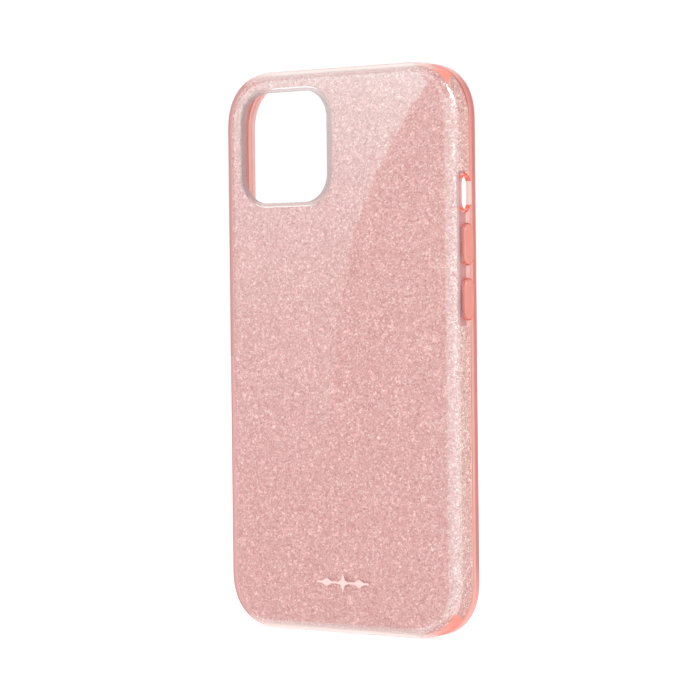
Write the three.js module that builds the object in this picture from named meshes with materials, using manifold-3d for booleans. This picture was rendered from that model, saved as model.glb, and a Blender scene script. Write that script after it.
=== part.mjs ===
// A hybrid phone case in three layers: a soft tinted outer shell, a die-cut glitter sheet and a
// clear hard inner shell, with three sprung button covers and a small foil mark on the back.
//
// The case stands upright. X runs across it, Y from the back (-Y) to the open front (+Y) and
// Z up. The origin is the middle of the bottom edge. All lengths are in millimetres.

import * as THREE from 'three';
import { mergeVertices } from 'three/addons/utils/BufferGeometryUtils.js';
import Module from 'manifold-3d';

const wasm = await Module();
wasm.setup();

// ---- Driving dimensions -----------------------------------------------------------------

// The phone that the case is made for, and the room left around it.
const PHONE_WIDTH = 71.5;
const PHONE_HEIGHT = 146.7;
const PHONE_DEPTH = 7.65;
const PHONE_CLEARANCE = 0.1;

// Walls, measured inwards from the outer surface: at the sides and at the back.
const SIDE_WALL = 1.65;
const BACK_WALL = 1.85;
const SHELL_SIDE = 0.75;
const SHELL_BACK = 0.85;
const SHEET_THICKNESS = 0.15;
const LAYER_GAP = 0.1;

// Corner curve of the outline, and the rounding between the back and the sides.
const CORNER_REACH = 15.3;
const CORNER_EXPONENT = 2.3;
const EDGE_ROUND_SIDE = 3.6;
const EDGE_ROUND_DEPTH = 2.8;
const FRONT_ROUND = 0.8;

// Lip around the open front, which stands over the edge of the screen.
const LIP_OVERHANG = 0.7;
const LIP_HEIGHT = 1.2;

// How far forward the sheet's flaps and the inner shell reach, from the back face.
const SHEET_REACH = 8.4;
const INNER_REACH = 8.7;
const INNER_POCKET_REACH = 8.9;

// Camera opening in the top left corner of the back.
const CAMERA_WIDTH = 28.6;
const CAMERA_HEIGHT = 29.8;
const CAMERA_RADIUS = 7.5;
const CAMERA_FROM_EDGE = 20.5;
const COLLAR_WALL = 0.8;
const COLLAR_CLEARANCE = 0.3;

// Buttons and slots on the sides. Heights are measured down from the top of the case.
const BUTTON_LINE_FROM_BACK = 6.6;
const SLOT_LINE_FROM_BACK = 6.1;
const MUTE_FROM_TOP = 34.3;
const MUTE_LENGTH = 9.2;
const MUTE_WIDTH = 4.5;
const MUTE_RIM = 0.65;
const VOLUME_UP_FROM_TOP = 47.6;
const VOLUME_DOWN_FROM_TOP = 61.8;
const VOLUME_LENGTH = 10.4;
const SIDE_BUTTON_FROM_TOP = 51.0;
const SIDE_BUTTON_LENGTH = 17.0;
const BUTTON_WIDTH = 4.2;
const BUTTON_PROUD = 0.45;
const BUTTON_INNER_GAP = 0.2;
const BUTTON_CLEARANCE = 0.3;
const BUTTON_EDGE_ROUND = 0.35;

// Notches that the sheet and the inner shell leave open around the buttons and the port.
const NOTCH_FROM_BACK = 2.9;
const NOTCH_RADIUS = 1.6;
const VOLUME_NOTCH_TOP = 28.6;
const VOLUME_NOTCH_BOTTOM = 68.8;
const SIDE_BUTTON_NOTCH_MARGIN = 2.5;
const PORT_NOTCH_HALF_WIDTH = 25.5;

// Openings in the bottom edge.
const PORT_LENGTH = 13.0;
const PORT_WIDTH = 6.2;
const SPEAKER_LENGTH = 12.5;
const SPEAKER_WIDTH = 2.8;
const SPEAKER_FROM_MIDDLE = 17.5;

// Gaps in the sheet at the corners, between its back panel and its flaps, in degrees
// round the corner from the long side: at the crease and at the front edge.
const TOP_GAP = { creaseStart: 37, frontStart: 55, frontEnd: 70, creaseEnd: 61 };
const BOTTOM_GAP = { creaseStart: 33, frontStart: 45, frontEnd: 77, creaseEnd: 73 };

// Foil mark, set in a shallow recess low on the back.
const MARK_CENTRE_X = 1.0;
const MARK_CENTRE_Z = 13.6;
const MARK_LENGTH = 17.0;
const MARK_LINE = 0.55;
const MARK_STAR_HEIGHT = 4.6;
const MARK_STAR_WAIST = 0.65;
const MARK_BEAD_OFFSET = 5.3;
const MARK_BEAD_LENGTH = 4.2;
const MARK_BEAD_HEIGHT = 2.2;
const MARK_THICKNESS = 0.1;
const RECESS_DEPTH = 0.15;
const RECESS_MARGIN = 0.12;

// Fineness of the curves.
const CORNER_STEPS = 11;
const EDGE_STEPS = 5;
const ARC_STEPS = 8;

// ---- Sizes that follow ------------------------------------------------------------------

const WIDTH = PHONE_WIDTH + 2 * (PHONE_CLEARANCE + SIDE_WALL);
const HEIGHT = PHONE_HEIGHT + 2 * (PHONE_CLEARANCE + SIDE_WALL);
const DEPTH = BACK_WALL + PHONE_DEPTH + 2 * PHONE_CLEARANCE + LIP_HEIGHT;
const BACK_Y = -DEPTH / 2;
const FRONT_Y = DEPTH / 2;
const LIP_Y = FRONT_Y - LIP_HEIGHT;
const SIDE_X = WIDTH / 2;
const BUTTON_Y = BACK_Y + BUTTON_LINE_FROM_BACK;
const SLOT_Y = BACK_Y + SLOT_LINE_FROM_BACK;
const CAMERA_X = -SIDE_X + CAMERA_FROM_EDGE;
const CAMERA_Z = HEIGHT - CAMERA_FROM_EDGE;
const BEYOND = 4;

// ---- Solids -----------------------------------------------------------------------------

function solidFrom(geometry) {
  geometry.deleteAttribute('normal');
  geometry.deleteAttribute('uv');
  const merged = mergeVertices(geometry, 1e-5);
  return new wasm.Manifold(new wasm.Mesh({
    numProp: 3,
    vertProperties: merged.attributes.position.array,
    triVerts: new Uint32Array(merged.index.array),
  }));
}

function geometryFrom(solid) {
  const mesh = solid.getMesh();
  const geometry = new THREE.BufferGeometry();
  geometry.setAttribute('position', new THREE.BufferAttribute(mesh.vertProperties, 3));
  geometry.setIndex(new THREE.BufferAttribute(mesh.triVerts, 1));
  geometry.computeVertexNormals();
  return geometry;
}

// Outline of the case seen from the front, moved inwards by inset. Its corners are
// superellipses, which leave the straight sides more gently than arcs do.
function caseOutline(inset) {
  const halfWidth = SIDE_X - inset;
  const halfHeight = HEIGHT / 2 - inset;
  const reach = CORNER_REACH - inset;
  const shape = new THREE.Shape();
  const quarters = [[1, 1], [-1, 1], [-1, -1], [1, -1]];
  quarters.forEach(([sideX, sideZ], quarter) => {
    for (let step = 0; step <= CORNER_STEPS; step += 1) {
      const along = quarter % 2 === 0 ? step : CORNER_STEPS - step;
      const angle = (along / CORNER_STEPS) * (Math.PI / 2);
      const x = halfWidth - reach * (1 - Math.cos(angle) ** (2 / CORNER_EXPONENT));
      const z = halfHeight - reach * (1 - Math.sin(angle) ** (2 / CORNER_EXPONENT));
      const point = [sideX * x, sideZ * z];
      if (quarter === 0 && step === 0) {
        shape.moveTo(...point);
      } else {
        shape.lineTo(...point);
      }
    }
  });
  shape.closePath();
  return shape;
}

function roundedRectangle(width, height, radius) {
  const x = width / 2 - radius;
  const y = height / 2 - radius;
  const quarterTurn = Math.PI / 2;
  const shape = new THREE.Shape();
  shape.absarc(x, y, radius, 0, quarterTurn);
  shape.absarc(-x, y, radius, quarterTurn, 2 * quarterTurn);
  shape.absarc(-x, -y, radius, 2 * quarterTurn, 3 * quarterTurn);
  shape.absarc(x, -y, radius, 3 * quarterTurn, 4 * quarterTurn);
  shape.closePath();
  return shape;
}

// Extrudes a shape drawn in X and Z from one Y to another.
function slab(shape, fromY, toY, bevel = {}) {
  const bevelDepth = bevel.bevelThickness ?? 0;
  const geometry = new THREE.ExtrudeGeometry(shape, {
    depth: toY - fromY - 2 * bevelDepth,
    curveSegments: ARC_STEPS,
    bevelEnabled: false,
    ...bevel,
  });
  geometry.rotateX(Math.PI / 2);
  geometry.translate(0, toY - bevelDepth, 0);
  return geometry;
}

// The case's body, inset from its outer surface at the sides and at the back, with the rounding
// between the two and a flat end at frontY.
function roundedBody(sideInset, backInset, frontY) {
  const roundDepth = EDGE_ROUND_DEPTH - backInset;
  const roundSide = EDGE_ROUND_SIDE - sideInset;
  const body = slab(caseOutline(sideInset), BACK_Y + backInset, frontY + 2 * EDGE_ROUND_DEPTH, {
    bevelEnabled: true,
    bevelThickness: roundDepth,
    bevelSize: roundSide,
    bevelOffset: -roundSide,
    bevelSegments: EDGE_STEPS,
  });
  const keep = new THREE.BoxGeometry(2 * WIDTH, frontY - BACK_Y + BEYOND, 2 * HEIGHT);
  keep.translate(0, (frontY + BACK_Y - BEYOND) / 2, 0);
  const solid = solidFrom(body).intersect(solidFrom(keep));
  return solid.translate([0, 0, HEIGHT / 2]);
}

function straightBody(sideInset, fromY, toY) {
  return solidFrom(slab(caseOutline(sideInset), fromY, toY)).translate([0, 0, HEIGHT / 2]);
}

function cameraBlock(margin, fromY, toY) {
  const shape = roundedRectangle(
    CAMERA_WIDTH + 2 * margin,
    CAMERA_HEIGHT + 2 * margin,
    CAMERA_RADIUS + margin,
  );
  return solidFrom(slab(shape, fromY, toY)).translate([CAMERA_X, 0, CAMERA_Z]);
}

// Turns a shape drawn flat so that its X becomes Y, its Y becomes Z and its depth becomes X.
const turnToSide = new THREE.Matrix4().set(
  0, 0, 1, 0,
  1, 0, 0, 0,
  0, 1, 0, 0,
  0, 0, 0, 1,
);

// A bar with round ends that runs along Z and pierces the side wall at +X, from one X to another.
function sideBar(length, width, middleY, fromTop, fromX, toX, edgeRound = 0) {
  const shape = roundedRectangle(width - 2 * edgeRound, length - 2 * edgeRound, width / 2 - edgeRound);
  const geometry = new THREE.ExtrudeGeometry(shape, {
    depth: toX - fromX - edgeRound,
    curveSegments: ARC_STEPS,
    bevelEnabled: edgeRound > 0,
    bevelThickness: edgeRound,
    bevelSize: edgeRound,
    bevelSegments: 3,
  });
  geometry.applyMatrix4(turnToSide);
  geometry.translate(fromX, middleY, HEIGHT - fromTop);
  const bar = solidFrom(geometry);
  if (edgeRound === 0) {
    return bar;
  }
  // Only the outer end keeps its rounded edge.
  const keep = new THREE.BoxGeometry(toX - fromX, 2 * DEPTH, 2 * HEIGHT);
  keep.translate((fromX + toX) / 2, 0, HEIGHT / 2);
  return bar.intersect(solidFrom(keep));
}

// A bar that pierces the bottom wall, long in X.
function bottomBar(length, width, centreX) {
  const shape = roundedRectangle(length, width, width / 2 - 0.01);
  const geometry = new THREE.ExtrudeGeometry(shape, {
    depth: 2 * BEYOND,
    curveSegments: ARC_STEPS,
    bevelEnabled: false,
  });
  geometry.translate(centreX, SLOT_Y, -BEYOND);
  return solidFrom(geometry);
}

function mirroredInX(solid) {
  return solid.mirror([1, 0, 0]);
}

// A notch in a side wall at +X, open to the front, with round corners towards the back.
function sideNotch(topZ, bottomZ) {
  const backY = BACK_Y + NOTCH_FROM_BACK;
  const frontY = FRONT_Y + BEYOND;
  const shape = roundedRectangle(frontY - backY, topZ - bottomZ, NOTCH_RADIUS);
  const geometry = new THREE.ExtrudeGeometry(shape, {
    depth: BEYOND + SIDE_WALL,
    curveSegments: ARC_STEPS,
    bevelEnabled: false,
  });
  geometry.applyMatrix4(turnToSide);
  geometry.translate(SIDE_X - SIDE_WALL - 1, (frontY + backY) / 2, (topZ + bottomZ) / 2);
  return solidFrom(geometry);
}

function bottomNotch() {
  const backY = BACK_Y + NOTCH_FROM_BACK;
  const frontY = FRONT_Y + BEYOND;
  const shape = roundedRectangle(2 * PORT_NOTCH_HALF_WIDTH, frontY - backY, NOTCH_RADIUS);
  const geometry = new THREE.ExtrudeGeometry(shape, {
    depth: BEYOND + SIDE_WALL + 1,
    curveSegments: ARC_STEPS,
    bevelEnabled: false,
  });
  geometry.translate(0, (frontY + backY) / 2, -BEYOND);
  return solidFrom(geometry);
}

// What the sheet and the inner shell both leave open for the buttons, the port and the camera.
function sharedCutouts() {
  const volumeNotch = sideNotch(HEIGHT - VOLUME_NOTCH_TOP, HEIGHT - VOLUME_NOTCH_BOTTOM);
  const halfLength = SIDE_BUTTON_LENGTH / 2 + SIDE_BUTTON_NOTCH_MARGIN;
  const buttonZ = HEIGHT - SIDE_BUTTON_FROM_TOP;
  const buttonNotch = mirroredInX(sideNotch(buttonZ + halfLength, buttonZ - halfLength));
  const camera = cameraBlock(COLLAR_WALL + COLLAR_CLEARANCE, BACK_Y, BACK_Y + 2 * BACK_WALL);
  return [volumeNotch, buttonNotch, bottomNotch(), camera];
}

function cutAll(solid, cutters) {
  return cutters.reduce((left, cutter) => left.subtract(cutter), solid);
}

// ---- Soft outer shell -------------------------------------------------------------------

function muteRim() {
  const fromX = SIDE_X - SIDE_WALL;
  const toX = SIDE_X - SHELL_SIDE / 2;
  const length = MUTE_LENGTH + 2 * MUTE_RIM;
  const width = MUTE_WIDTH + 2 * MUTE_RIM;
  return sideBar(length, width, SLOT_Y, MUTE_FROM_TOP, fromX, toX);
}

function buttonSlot(length, fromTop) {
  return sideBar(
    length + 2 * BUTTON_CLEARANCE,
    BUTTON_WIDTH + 2 * BUTTON_CLEARANCE,
    BUTTON_Y,
    fromTop,
    SIDE_X - SIDE_WALL - BEYOND,
    SIDE_X + BEYOND,
  );
}

function buildOuterShell() {
  const frontRounded = solidFrom(slab(caseOutline(0), BACK_Y - BEYOND, FRONT_Y, {
    bevelEnabled: true,
    bevelThickness: FRONT_ROUND,
    bevelSize: FRONT_ROUND,
    bevelOffset: -FRONT_ROUND,
    bevelSegments: 3,
  })).translate([0, 0, HEIGHT / 2]);
  const body = roundedBody(0, 0, FRONT_Y).intersect(frontRounded);
  const layersPocket = roundedBody(SHELL_SIDE, SHELL_BACK, BACK_Y + INNER_POCKET_REACH);
  const phonePocket = straightBody(SIDE_WALL, 0, LIP_Y);
  const screenOpening = straightBody(SIDE_WALL + LIP_OVERHANG, 0, FRONT_Y + BEYOND);
  const tray = cutAll(body, [layersPocket, phonePocket, screenOpening]);

  const collar = cameraBlock(COLLAR_WALL, BACK_Y + SHELL_BACK / 2, BACK_Y + BACK_WALL);
  const withCollars = tray.add(collar).add(muteRim().intersect(body));

  const mute = sideBar(
    MUTE_LENGTH,
    MUTE_WIDTH,
    SLOT_Y,
    MUTE_FROM_TOP,
    SIDE_X - SIDE_WALL - BEYOND,
    SIDE_X + BEYOND,
  );
  return cutAll(withCollars, [
    cameraBlock(0, BACK_Y - BEYOND, BACK_Y + BEYOND),
    mute,
    buttonSlot(VOLUME_LENGTH, VOLUME_UP_FROM_TOP),
    buttonSlot(VOLUME_LENGTH, VOLUME_DOWN_FROM_TOP),
    mirroredInX(buttonSlot(SIDE_BUTTON_LENGTH, SIDE_BUTTON_FROM_TOP)),
    bottomBar(PORT_LENGTH, PORT_WIDTH, 0),
    bottomBar(SPEAKER_LENGTH, SPEAKER_WIDTH, -SPEAKER_FROM_MIDDLE),
    bottomBar(SPEAKER_LENGTH, SPEAKER_WIDTH, SPEAKER_FROM_MIDDLE),
    markSolid(RECESS_MARGIN, BACK_Y - BEYOND, BACK_Y + RECESS_DEPTH),
  ]);
}

// ---- Clear inner shell ------------------------------------------------------------------

function buildInnerShell() {
  const sideInset = SHELL_SIDE + SHEET_THICKNESS + 2 * LAYER_GAP;
  const backInset = SHELL_BACK + SHEET_THICKNESS + 2 * LAYER_GAP;
  const body = roundedBody(sideInset, backInset, BACK_Y + INNER_REACH);
  const pocket = roundedBody(SIDE_WALL, BACK_WALL, FRONT_Y + BEYOND);
  return cutAll(body, [pocket, ...sharedCutouts()]);
}

// ---- Glitter sheet ----------------------------------------------------------------------

// The gap that the sheet leaves at the top corner at +X, from its crease to its front edge.
function cornerGap(gap) {
  const middleAngle = 45;
  const reach = CORNER_REACH;
  const across = (degrees) => reach * Math.sin(THREE.MathUtils.degToRad(degrees - middleAngle));
  const creaseY = BACK_Y + EDGE_ROUND_DEPTH + 0.1;
  const frontY = BACK_Y + SHEET_REACH + 1;
  const shape = new THREE.Shape();
  shape.moveTo(across(gap.creaseStart), creaseY);
  shape.lineTo(across(gap.frontStart), frontY);
  shape.lineTo(across(gap.frontEnd), frontY);
  shape.lineTo(across(gap.creaseEnd), creaseY);
  shape.closePath();
  const geometry = new THREE.ExtrudeGeometry(shape, {
    depth: reach,
    bevelEnabled: false,
  });
  // The shape's X runs round the corner towards the top, its Y stays, its depth runs inwards.
  const diagonal = Math.SQRT1_2;
  geometry.translate(0, 0, -1.5 * reach);
  geometry.applyMatrix4(new THREE.Matrix4().set(
    -diagonal, 0, -diagonal, SIDE_X - reach,
    0, 1, 0, 0,
    diagonal, 0, -diagonal, HEIGHT - reach,
    0, 0, 0, 1,
  ));
  return solidFrom(geometry);
}

function cornerGaps() {
  const top = cornerGap(TOP_GAP);
  const bottom = cornerGap(BOTTOM_GAP)
    .translate([0, 0, -HEIGHT / 2])
    .mirror([0, 0, 1])
    .translate([0, 0, HEIGHT / 2]);
  return [top, bottom, mirroredInX(top), mirroredInX(bottom)];
}

function buildGlitterSheet() {
  const sideInset = SHELL_SIDE + LAYER_GAP;
  const backInset = SHELL_BACK + LAYER_GAP;
  const body = roundedBody(sideInset, backInset, BACK_Y + SHEET_REACH);
  const inside = roundedBody(
    sideInset + SHEET_THICKNESS,
    backInset + SHEET_THICKNESS,
    FRONT_Y + BEYOND,
  );
  return cutAll(body, [inside, ...sharedCutouts(), ...cornerGaps()]);
}

// ---- Button covers ----------------------------------------------------------------------

function buildButtonCover(length, fromTop) {
  const fromX = SIDE_X - SIDE_WALL + BUTTON_INNER_GAP;
  const toX = SIDE_X + BUTTON_PROUD;
  return sideBar(length, BUTTON_WIDTH, BUTTON_Y, fromTop, fromX, toX, BUTTON_EDGE_ROUND);
}

// ---- Foil mark --------------------------------------------------------------------------

// A four-pointed star between two lozenges, joined by a fine line.
function markSolid(margin, fromY, toY) {
  const lozenge = (centreX, halfLength, halfHeight, waist) => {
    const shape = new THREE.Shape();
    shape.moveTo(centreX + halfLength + margin, 0);
    shape.lineTo(centreX + waist + margin, waist + margin);
    shape.lineTo(centreX, halfHeight + margin);
    shape.lineTo(centreX - waist - margin, waist + margin);
    shape.lineTo(centreX - halfLength - margin, 0);
    shape.lineTo(centreX - waist - margin, -waist - margin);
    shape.lineTo(centreX, -halfHeight - margin);
    shape.lineTo(centreX + waist + margin, -waist - margin);
    shape.closePath();
    return solidFrom(slab(shape, fromY, toY));
  };
  const line = roundedRectangle(MARK_LENGTH + 2 * margin, MARK_LINE + 2 * margin, MARK_LINE / 2);
  const star = lozenge(0, MARK_STAR_HEIGHT / 2, MARK_STAR_HEIGHT / 2, MARK_STAR_WAIST);
  const beadWaist = (MARK_BEAD_LENGTH * MARK_BEAD_HEIGHT) / (2 * (MARK_BEAD_LENGTH + MARK_BEAD_HEIGHT));
  const beads = [-1, 1].map((side) => lozenge(
    side * MARK_BEAD_OFFSET,
    MARK_BEAD_LENGTH / 2,
    MARK_BEAD_HEIGHT / 2,
    beadWaist,
  ));
  return beads
    .reduce((left, bead) => left.add(bead), solidFrom(slab(line, fromY, toY)).add(star))
    .translate([MARK_CENTRE_X, 0, MARK_CENTRE_Z]);
}

function buildBackMark() {
  const outerY = BACK_Y + (RECESS_DEPTH - MARK_THICKNESS) / 2;
  return markSolid(0, outerY, outerY + MARK_THICKNESS);
}

// ---- Assembly ---------------------------------------------------------------------------

const softCoral = new THREE.MeshStandardMaterial({ color: 0xf7ab9e, roughness: 0.25, metalness: 0 });
const clearPlastic = new THREE.MeshStandardMaterial({ color: 0xd9c8c8, roughness: 0.12, metalness: 0 });
const pinkGlitter = new THREE.MeshStandardMaterial({ color: 0xdfaaa8, roughness: 0.35, metalness: 0.4 });
const paleFoil = new THREE.MeshStandardMaterial({ color: 0xf6d5d2, roughness: 0.3, metalness: 0.6 });

function piece(name, solid, material) {
  const mesh = new THREE.Mesh(geometryFrom(solid), material.clone());
  mesh.name = name;
  return mesh;
}

const phoneCase = new THREE.Group();
phoneCase.add(
  piece('outer_shell', buildOuterShell(), softCoral),
  piece('inner_shell', buildInnerShell(), clearPlastic),
  piece('glitter_sheet', buildGlitterSheet(), pinkGlitter),
  piece('volume_up_cover', buildButtonCover(VOLUME_LENGTH, VOLUME_UP_FROM_TOP), softCoral),
  piece('volume_down_cover', buildButtonCover(VOLUME_LENGTH, VOLUME_DOWN_FROM_TOP), softCoral),
  piece(
    'side_button_cover',
    mirroredInX(buildButtonCover(SIDE_BUTTON_LENGTH, SIDE_BUTTON_FROM_TOP)),
    softCoral,
  ),
  piece('back_mark', buildBackMark(), paleFoil),
);

export default phoneCase;
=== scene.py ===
"""A see-through coral phone case over a rose glitter sheet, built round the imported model."""

import math

import bmesh
import bpy
from mathutils import Matrix, Vector


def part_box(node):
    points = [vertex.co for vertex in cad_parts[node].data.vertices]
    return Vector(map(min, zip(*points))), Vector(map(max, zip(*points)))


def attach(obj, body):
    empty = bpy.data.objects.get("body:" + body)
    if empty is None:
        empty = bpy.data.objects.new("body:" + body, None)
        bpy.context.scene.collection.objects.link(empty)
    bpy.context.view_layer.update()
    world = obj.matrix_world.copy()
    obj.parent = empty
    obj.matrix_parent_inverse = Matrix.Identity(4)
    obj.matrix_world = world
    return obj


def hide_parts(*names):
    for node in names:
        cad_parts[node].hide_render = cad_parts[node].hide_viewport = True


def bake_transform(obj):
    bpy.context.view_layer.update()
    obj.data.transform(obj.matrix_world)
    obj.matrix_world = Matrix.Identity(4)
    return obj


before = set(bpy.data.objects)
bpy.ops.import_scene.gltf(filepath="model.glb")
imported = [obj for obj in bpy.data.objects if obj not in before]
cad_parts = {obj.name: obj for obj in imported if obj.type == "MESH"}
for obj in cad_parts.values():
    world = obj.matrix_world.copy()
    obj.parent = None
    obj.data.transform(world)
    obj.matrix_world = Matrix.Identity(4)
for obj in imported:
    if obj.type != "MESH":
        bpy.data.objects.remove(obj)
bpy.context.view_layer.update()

MM = 0.001
BODY = "case_body"

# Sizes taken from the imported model.
SHELL_LOW, SHELL_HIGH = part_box("outer_shell")
HALF_WIDTH = SHELL_HIGH.x
HALF_HEIGHT = (SHELL_HIGH.z - SHELL_LOW.z) / 2
MIDDLE_Z = (SHELL_HIGH.z + SHELL_LOW.z) / 2
BACK_Y = SHELL_LOW.y
FRONT_Y = SHELL_HIGH.y
SHEET_FRONT_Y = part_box("glitter_sheet")[1].y
TRAY_FRONT_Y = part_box("inner_shell")[1].y
BUTTON_Y = sum((corner.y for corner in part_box("volume_up_cover")), 0.0) / 2

# Walls and curves of the case.
SIDE_WALL = 1.65 * MM
BACK_WALL = 1.85 * MM
SKIN_SIDE = 0.75 * MM
SKIN_BACK = 0.85 * MM
LAYER_GAP = 0.1 * MM
SHEET_THICKNESS = 0.15 * MM
CORNER_REACH = 15.3 * MM
CORNER_PROFILE = 0.547
CORNER_SEGMENTS = 28
EDGE_ROUND_SIDE = 3.6 * MM
EDGE_ROUND_DEPTH = 2.8 * MM
EDGE_STEPS = 12
FRONT_ROUND = 0.8 * MM
FRONT_STEPS = 6
LIP_HEIGHT = 1.2 * MM
LIP_OVERHANG = 0.7 * MM
LIP_Y = FRONT_Y - LIP_HEIGHT
POCKET_FRONT_Y = BACK_Y + 8.9 * MM
SHELL_SOFTENING = 0.14 * MM
TRAY_SOFTENING = 0.1 * MM
BEYOND = 4 * MM

# Camera opening.
CAMERA_X = -HALF_WIDTH + 20.5 * MM
CAMERA_Z = SHELL_HIGH.z - 20.5 * MM
CAMERA_WIDTH = 28.6 * MM
CAMERA_HEIGHT = 29.8 * MM
CAMERA_RADIUS = 7.5 * MM
CAMERA_SEGMENTS = 16
COLLAR_WALL = 0.8 * MM
COLLAR_CLEARANCE = 0.3 * MM

# Switch slot, buttons and ports.
SLOT_Y = BACK_Y + 6.1 * MM
MUTE_Z = SHELL_HIGH.z - 34.3 * MM
MUTE_LENGTH = 9.2 * MM
MUTE_WIDTH = 4.5 * MM
MUTE_RIM = 0.65 * MM
BUTTON_CLEARANCE = 0.3 * MM
NOTCH_BACK_Y = BACK_Y + 2.9 * MM
NOTCH_RADIUS = 1.6 * MM
NOTCH_SEGMENTS = 8
NOTCH_INTO_TRAY = 1 * MM
BAR_SEGMENTS = 14
VOLUME_NOTCH = (SHELL_HIGH.z - 68.8 * MM, SHELL_HIGH.z - 28.6 * MM)
SIDE_NOTCH_MARGIN = 2.5 * MM
# Span round the sheet's front edge of the lip's paler band, which is painted light: a bright edge
# where the sheet ends.
LIP_PAINTED_BRIGHT_SPAN = (-0.85 * MM, 0.35 * MM)
PORT_NOTCH_HALF_WIDTH = 25.5 * MM
PORT_SIZE = (13.0 * MM, 6.2 * MM)
SPEAKER_SIZE = (12.5 * MM, 2.8 * MM)
SPEAKER_X = 17.5 * MM
BUTTONS = {
    "volume_up_cover": ("volume_up", 1),
    "volume_down_cover": ("volume_down", 1),
    "side_button_cover": ("side_button", -1),
}
PAD_DOME = 0.5 * MM
PAD_STEPS = 6

# The thin web round each pad: how deep it sits in the wall at its ring and at the pad.
FLEX_RING_DEPTH = 0.62 * MM
FLEX_PAD_DEPTH = 0.30 * MM
FLEX_THICKNESS = 0.12 * MM

# The soft shell's own fillings behind its clear skin.
FILLING_GAP = 0.03 * MM
CORNER_WEB_THICKNESS = 0.3 * MM
CORNER_WEB_MARGIN = 0.06 * MM
CORNER_WEB_LAP = 0.4 * MM
PANEL_THICKNESS = 0.35 * MM
PALE_PANEL_Y = BACK_Y + 6.7 * MM

# Gaps that the sheet leaves at the corners, in degrees round the corner from the long side:
# where they start and end at the crease, then where they start and end at the front.
TOP_GAP = (37, 61, 55, 70)
BOTTOM_GAP = (33, 73, 45, 77)
GAP_CREASE_Y = BACK_Y + EDGE_ROUND_DEPTH + 0.1 * MM

# The camera, from the side of the switch and a little above the middle.
CAMERA_AZIMUTH = 35.92
CAMERA_ELEVATION = 0.994
CAMERA_ROLL = -0.63
CAMERA_DISTANCE = 723.6 * MM
CAMERA_LENS = 139.7
CAMERA_AIM_RIGHT = 0.22 * MM
CAMERA_AIM_UP = 0.11 * MM
CARD_DISTANCE = 1000 * MM
WORLD_GLOW = 1.02
COOL_TINT = (0.5, 1.0, 0.99)
FLOOR_SIZE = 6
FLOOR_DROP = 0.05 * MM

# The window, in millimetres: its sill, the heights between which its edge curves, and its sides.
WINDOW_SILL = -90
WINDOW_CURVE = (19, 171)
WINDOW_CURVE_STEPS = 8
WINDOW_FAR_SIDE = -110

# Gloss of the clear plastic: the mirror share and the edge tint grow with the slant.
MIRROR_RISE = 0.1
MIRROR_POWER = 4
EDGE_TINT_POWER = 3
# Colour of the painted sheen where the clear plastic turns up or down.
PAINTED_SHEEN_COLOUR = (1.0, 0.83, 0.80, 1)
TRANSLUCENT_SHARE = 0.35


# ---- Modelling helpers ---------------------------------------------------------------------

def deselect():
    if bpy.context.object and bpy.context.object.mode != "OBJECT":
        bpy.ops.object.mode_set(mode="OBJECT")
    bpy.ops.object.select_all(action="DESELECT")


def activate(piece):
    deselect()
    piece.select_set(True)
    bpy.context.view_layer.objects.active = piece


def settle(piece):
    """Puts the piece's place and size into its mesh."""
    activate(piece)
    bpy.ops.object.transform_apply(location=True, rotation=True, scale=True)


def select_faces(piece, wanted):
    """In edit mode, selects the faces for which wanted(face) is true and nothing else."""
    mesh = bmesh.from_edit_mesh(piece.data)
    bpy.ops.mesh.select_all(action="DESELECT")
    bpy.ops.mesh.select_mode(type="FACE")
    for face in mesh.faces:
        face.select_set(bool(wanted(face)))
    mesh.select_flush_mode()
    bmesh.update_edit_mesh(piece.data)


def select_edges(piece, wanted):
    """In edit mode, selects the edges for which wanted(edge) is true and nothing else."""
    mesh = bmesh.from_edit_mesh(piece.data)
    bpy.ops.mesh.select_all(action="DESELECT")
    bpy.ops.mesh.select_mode(type="EDGE")
    for edge in mesh.edges:
        edge.select_set(bool(wanted(edge)))
    mesh.select_flush_mode()
    bmesh.update_edit_mesh(piece.data)


def runs_along(edge, axis):
    """True if the edge runs along the X, Y or Z axis, given as 0, 1 or 2."""
    step = edge.verts[1].co - edge.verts[0].co
    return abs(step[axis]) > 0.999 * step.length


def box_piece(name, low, high):
    deselect()
    low, high = Vector(low), Vector(high)
    bpy.ops.mesh.primitive_cube_add(size=1, location=(low + high) / 2, scale=high - low)
    piece = bpy.context.object
    piece.name = name
    settle(piece)
    return piece


def prism(name, low, high, along, radius, segments=12, profile=0.5):
    """A block whose edges along one axis are rounded."""
    piece = box_piece(name, low, high)
    bpy.ops.object.mode_set(mode="EDIT")
    select_edges(piece, lambda edge: runs_along(edge, along))
    bpy.ops.mesh.bevel(
        offset=radius, segments=segments, profile=profile, affect="EDGES", offset_type="OFFSET"
    )
    bpy.ops.mesh.select_all(action="SELECT")
    bpy.ops.mesh.remove_doubles(threshold=0.001 * MM)
    bpy.ops.object.mode_set(mode="OBJECT")
    return piece


def round_over(piece, normal, side, depth, steps):
    """Rounds the edge of the flat face with this normal: side wide and depth high."""
    bpy.ops.object.mode_set(mode="EDIT")
    select_faces(piece, lambda face: face.normal.dot(Vector(normal)) > 0.999)
    before_side, before_depth = 0.0, 0.0
    for step in range(1, steps + 1):
        angle = step / steps * math.pi / 2
        now_side = side * (1 - math.cos(angle))
        now_depth = depth * math.sin(angle)
        bpy.ops.mesh.inset(
            thickness=now_side - before_side, depth=now_depth - before_depth, use_even_offset=True
        )
        before_side, before_depth = now_side, now_depth
    bpy.ops.object.mode_set(mode="OBJECT")


def straight_block(name, side_inset, low_y, high_y):
    """The case's outline as a block, inset at the sides."""
    half_width = HALF_WIDTH - side_inset
    half_height = HALF_HEIGHT - side_inset
    return prism(
        name,
        (-half_width, low_y, MIDDLE_Z - half_height),
        (half_width, high_y, MIDDLE_Z + half_height),
        along=1,
        radius=CORNER_REACH - side_inset,
        segments=CORNER_SEGMENTS,
        profile=CORNER_PROFILE,
    )


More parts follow.
